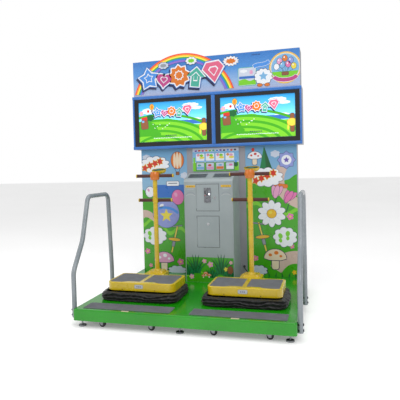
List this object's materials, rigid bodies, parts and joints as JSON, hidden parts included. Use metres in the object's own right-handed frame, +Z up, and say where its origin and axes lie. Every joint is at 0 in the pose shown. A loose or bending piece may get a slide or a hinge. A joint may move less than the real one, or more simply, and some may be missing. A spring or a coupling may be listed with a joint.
{
  "type": "dance rhythm machine",
  "caption": "Two-player jumping rhythm game cabinet: sprung foot trays with handle posts on a green deck, side handrails, a coin cabinet, two screens and an arched header.",
  "frame": {"origin": "on the floor, under the middle of the machine's bounding box", "axes": "+X to the players' right, +Y away from the players, +Z up"},
  "size_m": [1.7564, 1.55, 2.312],
  "materials": {
    "deck_green": "glossy moulded",
    "frame_steel": "satin black paint",
    "grip_mat": "matt anti-slip",
    "zinc_steel": "zinc plated",
    "black_bolt": "black oxide",
    "rail_grey": "gloss grey paint",
    "wheel_rubber": "matt",
    "tray_yellow": "gloss moulded",
    "post_yellow": "gloss paint",
    "rod_steel": "ground",
    "spring_steel": "oiled",
    "bellows_black": "coated cloth",
    "grip_foam": "foam",
    "hub_orange": "gloss",
    "button_green": "gloss",
    "board_white": "laminated board",
    "printed_board": "printed film",
    "surround_blue": "gloss",
    "bezel_black": "gloss",
    "screen": "glossy display",
    "header_print": "printed film",
    "rainbow_print": "printed film",
    "cabinet_white": "satin powder coat",
    "stainless": "brushed",
    "lock_chrome": "polished",
    "grille_black": "perforated",
    "case_metal": "sheet steel",
    "cable_black": "matt",
    "reject_black": "gloss"
  },
  "bodies": {
    "cabinet": {"deck_shell": "deck_green", "rear_base_shell": "deck_green", "deck_frame": "frame_steel", "step_mats": "grip_mat", "levelling_feet": "zinc_steel", "frame_bolts": "black_bolt", "handrail_left": "rail_grey", "handrail_right": "rail_grey", "guide_bases": "frame_steel", "tower_shell": "board_white", "printed_panels": "printed_board", "upper_cabinet": "board_white", "monitor_frame": "surround_blue", "screen_bezels": "bezel_black", "displays": "screen", "marquee_panel": "header_print", "rainbow_arch": "rainbow_print", "coin_cabinet": "cabinet_white", "cash_box": "stainless", "speakers": "grille_black", "electronics": "case_metal", "button_cable": "cable_black"},
    "jump_left": {"tray_left": "tray_yellow", "foot_pads_left": "grip_mat", "guide_rods_left": "rod_steel", "springs_left": "spring_steel", "bellows_left": "bellows_black", "post_left": "post_yellow", "grips_left": "grip_foam", "hub_left": "hub_orange", "start_bowl_left": "tray_yellow"},
    "button_left": {"start_button_left": "button_green"},
    "jump_right": {"tray_right": "tray_yellow", "foot_pads_right": "grip_mat", "guide_rods_right": "rod_steel", "springs_right": "spring_steel", "bellows_right": "bellows_black", "post_right": "post_yellow", "grips_right": "grip_foam", "hub_right": "hub_orange", "start_bowl_right": "tray_yellow"},
    "button_right": {"start_button_right": "button_green"},
    "service_door": {"service_door": "board_white"},
    "coin_door": {"coin_door": "cabinet_white", "coin_mech": "stainless"},
    "coin_lock": {"coin_lock": "lock_chrome"},
    "coin_return_flap": {"coin_return_flap": "stainless"},
    "coin_return_button": {"coin_return_button": "reject_black"},
    "cash_door": {"cash_door": "cabinet_white"},
    "cash_lock": {"cash_lock": "lock_chrome"},
    "power_switch": {"power_switch": "reject_black"},
    "caster_outer_left": {"caster_fork_outer_left": "zinc_steel"},
    "wheel_outer_left": {"caster_wheel_outer_left": "wheel_rubber"},
    "caster_inner_left": {"caster_fork_inner_left": "zinc_steel"},
    "wheel_inner_left": {"caster_wheel_inner_left": "wheel_rubber"},
    "caster_inner_right": {"caster_fork_inner_right": "zinc_steel"},
    "wheel_inner_right": {"caster_wheel_inner_right": "wheel_rubber"},
    "caster_outer_right": {"caster_fork_outer_right": "zinc_steel"},
    "wheel_outer_right": {"caster_wheel_outer_right": "wheel_rubber"},
    "rear_wheels": {"rear_wheels": "wheel_rubber"}
  },
  "joints": [
    {"name": "jump_slide_left", "type": "slide", "parent": "cabinet", "child": "jump_left", "axis": [0, 0, 1], "range_m": [-0.045, 0], "stiffness_N_per_m": 9000, "springref_m": 0.024, "deforming": ["springs_left", "bellows_left"]},
    {"name": "start_press_left", "type": "slide", "parent": "jump_left", "child": "button_left", "axis": [0, 0.1736, -0.9848], "range_m": [0, 0.004], "stiffness_N_per_m": 600, "springref_m": -0.004},
    {"name": "jump_slide_right", "type": "slide", "parent": "cabinet", "child": "jump_right", "axis": [0, 0, 1], "range_m": [-0.045, 0], "stiffness_N_per_m": 9000, "springref_m": 0.024, "deforming": ["springs_right", "bellows_right"]},
    {"name": "start_press_right", "type": "slide", "parent": "jump_right", "child": "button_right", "axis": [0, 0.1736, -0.9848], "range_m": [0, 0.004], "stiffness_N_per_m": 600, "springref_m": -0.004},
    {"name": "service_door_hinge", "type": "hinge", "parent": "cabinet", "child": "service_door", "pos_m": [0.451, 0.772, 0.825], "axis": [0, 0, -1], "range_deg": [0, 95]},
    {"name": "coin_door_hinge", "type": "hinge", "parent": "cabinet", "child": "coin_door", "pos_m": [-0.112, 0.25, 0.921], "axis": [0, 0, -1], "range_deg": [0, 100]},
    {"name": "coin_lock_turn", "type": "hinge", "parent": "coin_door", "child": "coin_lock", "pos_m": [0.06, 0.25, 0.921], "axis": [0, -1, 0], "range_deg": [0, 90]},
    {"name": "coin_return_flap_hinge", "type": "hinge", "parent": "coin_door", "child": "coin_return_flap", "pos_m": [-0.006, 0.249, 0.916], "axis": [1, 0, 0], "range_deg": [0, 55]},
    {"name": "coin_return_press", "type": "slide", "parent": "coin_door", "child": "coin_return_button", "axis": [0, 1, 0], "range_m": [0, 0.004], "stiffness_N_per_m": 300, "springref_m": -0.004},
    {"name": "cash_door_hinge", "type": "hinge", "parent": "cabinet", "child": "cash_door", "pos_m": [-0.109, 0.25, 0.609], "axis": [0, 0, -1], "range_deg": [0, 100]},
    {"name": "cash_lock_turn", "type": "hinge", "parent": "cash_door", "child": "cash_lock", "pos_m": [-0.005, 0.25, 0.679], "axis": [0, 1, 0], "range_deg": [0, 90]},
    {"name": "power_switch_rock", "type": "hinge", "parent": "cabinet", "child": "power_switch", "pos_m": [-0.4, 0.767, 0.275], "axis": [1, 0, 0], "range_deg": [0, 18]},
    {"name": "caster_swivel_outer_left", "type": "hinge", "parent": "cabinet", "child": "caster_outer_left", "pos_m": [-0.632, -0.716, 0.066], "axis": [0, 0, 1], "continuous": true},
    {"name": "wheel_spin_outer_left", "type": "hinge", "parent": "caster_outer_left", "child": "wheel_outer_left", "pos_m": [-0.614, -0.716, 0.027], "axis": [0, 1, 0], "continuous": true},
    {"name": "caster_swivel_inner_left", "type": "hinge", "parent": "cabinet", "child": "caster_inner_left", "pos_m": [-0.235, -0.716, 0.066], "axis": [0, 0, 1], "continuous": true},
    {"name": "wheel_spin_inner_left", "type": "hinge", "parent": "caster_inner_left", "child": "wheel_inner_left", "pos_m": [-0.217, -0.716, 0.027], "axis": [0, 1, 0], "continuous": true},
    {"name": "caster_swivel_inner_right", "type": "hinge", "parent": "cabinet", "child": "caster_inner_right", "pos_m": [0.235, -0.716, 0.066], "axis": [0, 0, 1], "continuous": true},
    {"name": "wheel_spin_inner_right", "type": "hinge", "parent": "caster_inner_right", "child": "wheel_inner_right", "pos_m": [0.253, -0.716, 0.027], "axis": [0, 1, 0], "continuous": true},
    {"name": "caster_swivel_outer_right", "type": "hinge", "parent": "cabinet", "child": "caster_outer_right", "pos_m": [0.632, -0.716, 0.066], "axis": [0, 0, 1], "continuous": true},
    {"name": "wheel_spin_outer_right", "type": "hinge", "parent": "caster_outer_right", "child": "wheel_outer_right", "pos_m": [0.65, -0.716, 0.027], "axis": [0, 1, 0], "continuous": true},
    {"name": "rear_wheels_spin", "type": "hinge", "parent": "cabinet", "child": "rear_wheels", "pos_m": [0, 0.735, 0.027], "axis": [1, 0, 0], "continuous": true}
  ]
}
